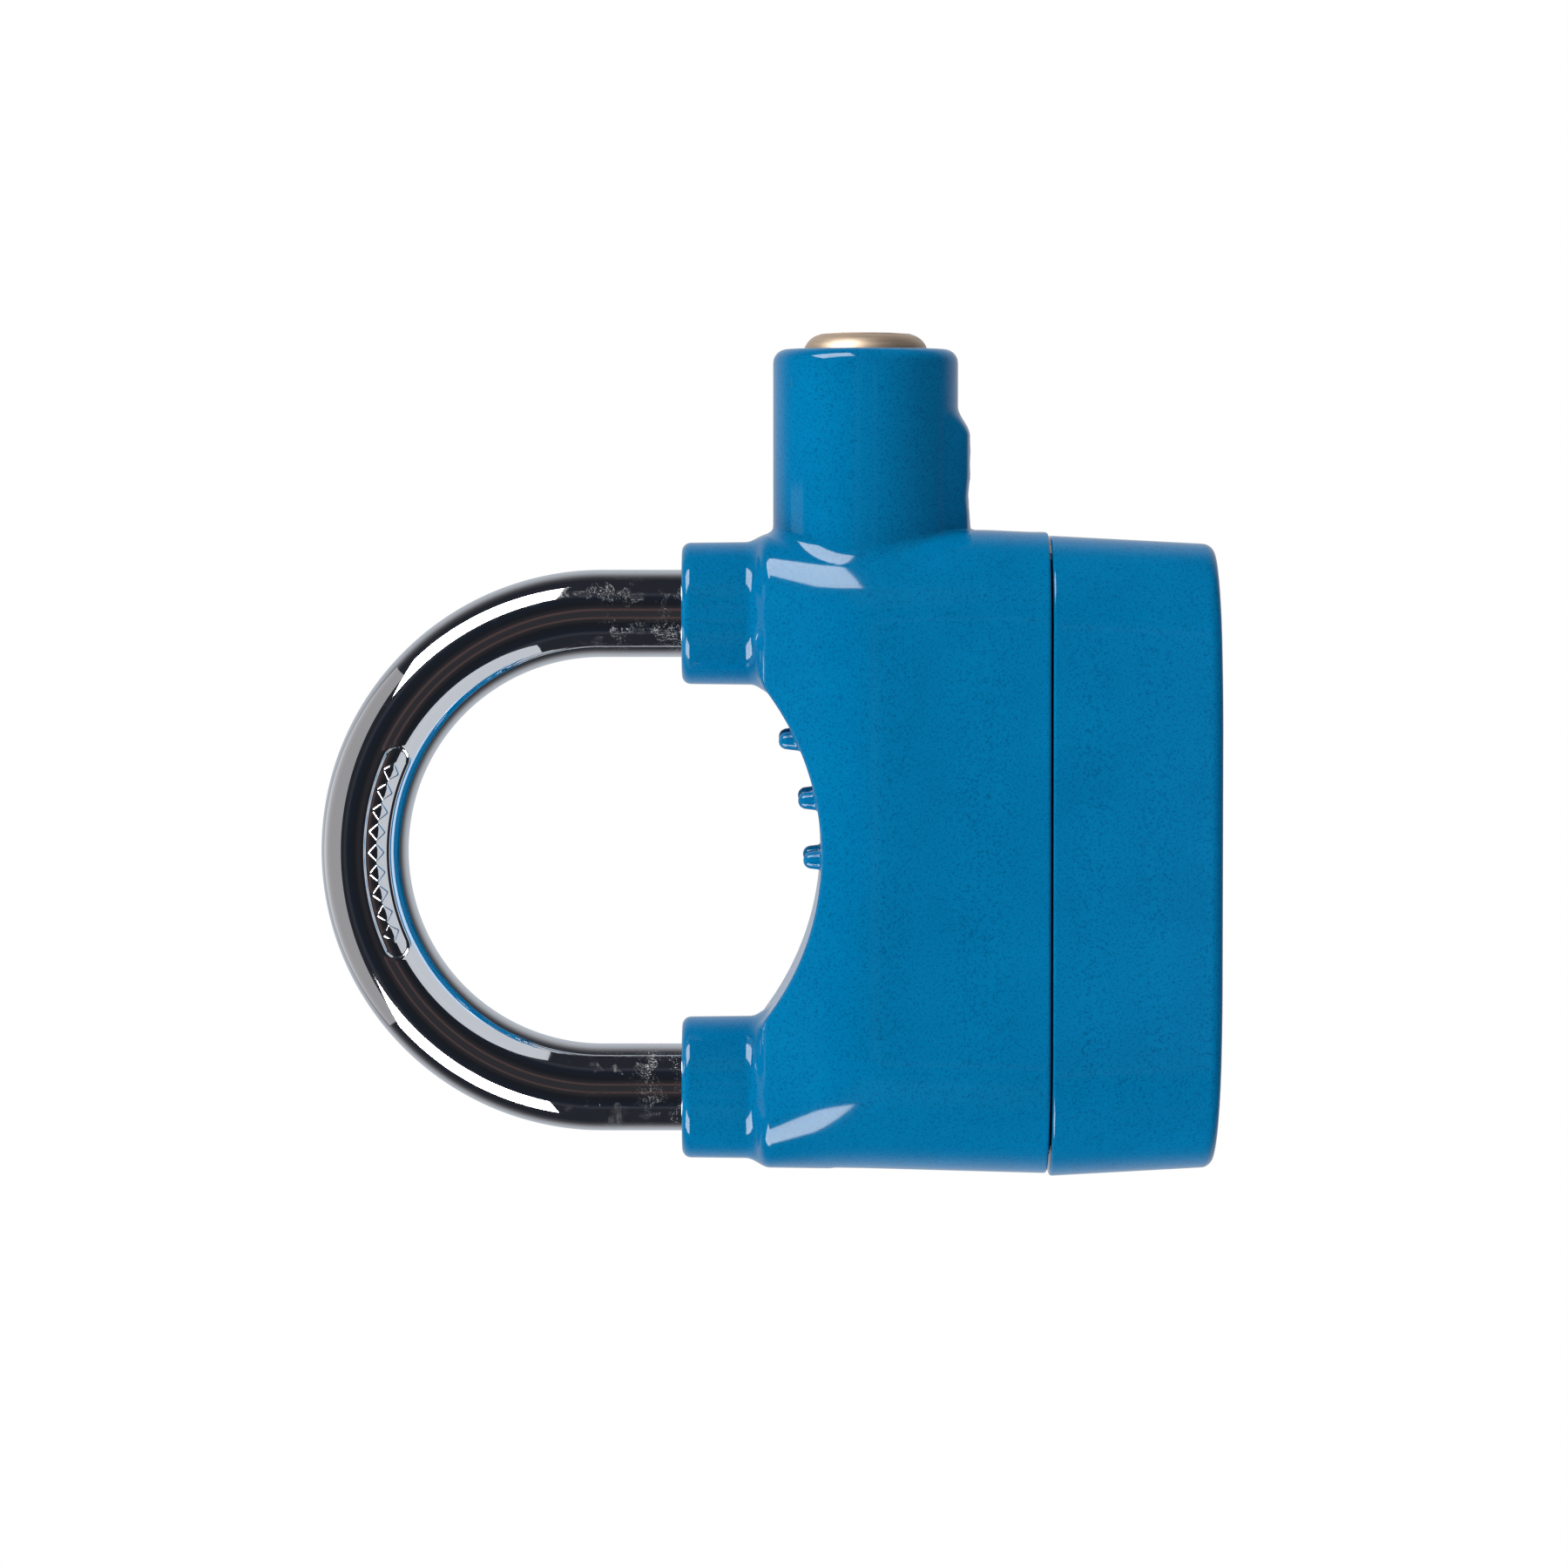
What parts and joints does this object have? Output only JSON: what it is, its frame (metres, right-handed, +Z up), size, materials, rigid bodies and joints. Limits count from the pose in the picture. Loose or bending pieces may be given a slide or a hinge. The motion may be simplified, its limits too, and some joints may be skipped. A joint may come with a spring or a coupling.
{
  "type": "alarm padlock",
  "caption": "Closed padlock with a round shackle, two collars, a side lock cylinder and a removable lower cover over a siren.",
  "frame": {"origin": "centre of the flat base face", "axes": "+Z up towards the shackle, +X towards the lock cylinder, -Y the front"},
  "size_m": [0.0967, 0.03, 0.1028],
  "materials": {
    "blue_paint": "glossy medium blue enamel with fine dark flecks",
    "chrome": "polished chrome plate",
    "brass": "turned brass, lightly polished",
    "steel": "zinc-plated steel",
    "cast_zinc": "bare die-cast zinc alloy",
    "rubber": "matt black rubber",
    "black_plastic": "moulded black plastic",
    "white_plastic": "moulded white plastic",
    "board": "green glass-epoxy laminate",
    "nickel": "nickel-plated steel"
  },
  "bodies": {
    "case": {"upper_case": "blue_paint", "lower_cover": "blue_paint", "cover_gasket": "rubber", "collar_seal_left": "rubber", "collar_seal_right": "rubber", "cover_screw": "steel", "cylinder_shell": "brass", "cylinder_cross_pin": "steel", "driver_pin_1": "steel", "driver_pin_2": "steel", "driver_pin_3": "steel", "driver_pin_4": "steel", "pin_spring_1": "steel", "pin_spring_2": "steel", "pin_spring_3": "steel", "pin_spring_4": "steel", "chamber_plug_1": "brass", "chamber_plug_2": "brass", "chamber_plug_3": "brass", "chamber_plug_4": "brass", "mechanism_frame": "cast_zinc", "frame_screw_1": "steel", "frame_screw_2": "steel", "circuit_board": "board", "mode_switch_body": "black_plastic", "vibration_sensor": "nickel", "driver_coil": "black_plastic", "control_chip": "black_plastic", "board_screw_1": "steel", "board_screw_2": "steel", "battery_tray": "black_plastic", "cell_1": "nickel", "cell_2": "nickel", "cell_3": "nickel", "cell_4": "nickel", "cell_5": "nickel", "cell_6": "nickel", "cell_terminal_1": "nickel", "cell_terminal_2": "nickel", "cell_bridge_contact": "nickel", "siren_case": "black_plastic", "siren_disc": "brass"},
    "shackle": {"shackle": "chrome"},
    "key_plug": {"key_plug": "brass", "plug_retaining_clip": "steel", "key_pin_1": "brass", "key_pin_2": "brass", "key_pin_3": "brass", "key_pin_4": "brass"},
    "locking_plate": {"locking_plate": "steel"},
    "mode_switch_plunger": {"mode_switch_plunger": "white_plastic"}
  },
  "joints": [
    {"name": "shackle_lift", "type": "slide", "parent": "case", "child": "shackle", "axis": [0, 0, 1], "range_m": [0, 0.036]},
    {"name": "key_turn", "type": "hinge", "parent": "case", "child": "key_plug", "pos_m": [0, 0, 0.04025], "axis": [1, 0, 0], "range_deg": [0, 90]},
    {"name": "locking_plate_slide", "type": "slide", "parent": "case", "child": "locking_plate", "axis": [0, 1, 0], "range_m": [0, 0.0019]},
    {"name": "mode_switch_press", "type": "slide", "parent": "case", "child": "mode_switch_plunger", "axis": [0, 0, 1], "range_m": [-0.0014, 0], "stiffness_N_per_m": 200, "springref_m": 0.002}
  ],
  "couplings": [
    {"joint": "locking_plate_slide", "follows": "key_turn", "m_per_rad": 0.001209}
  ]
}
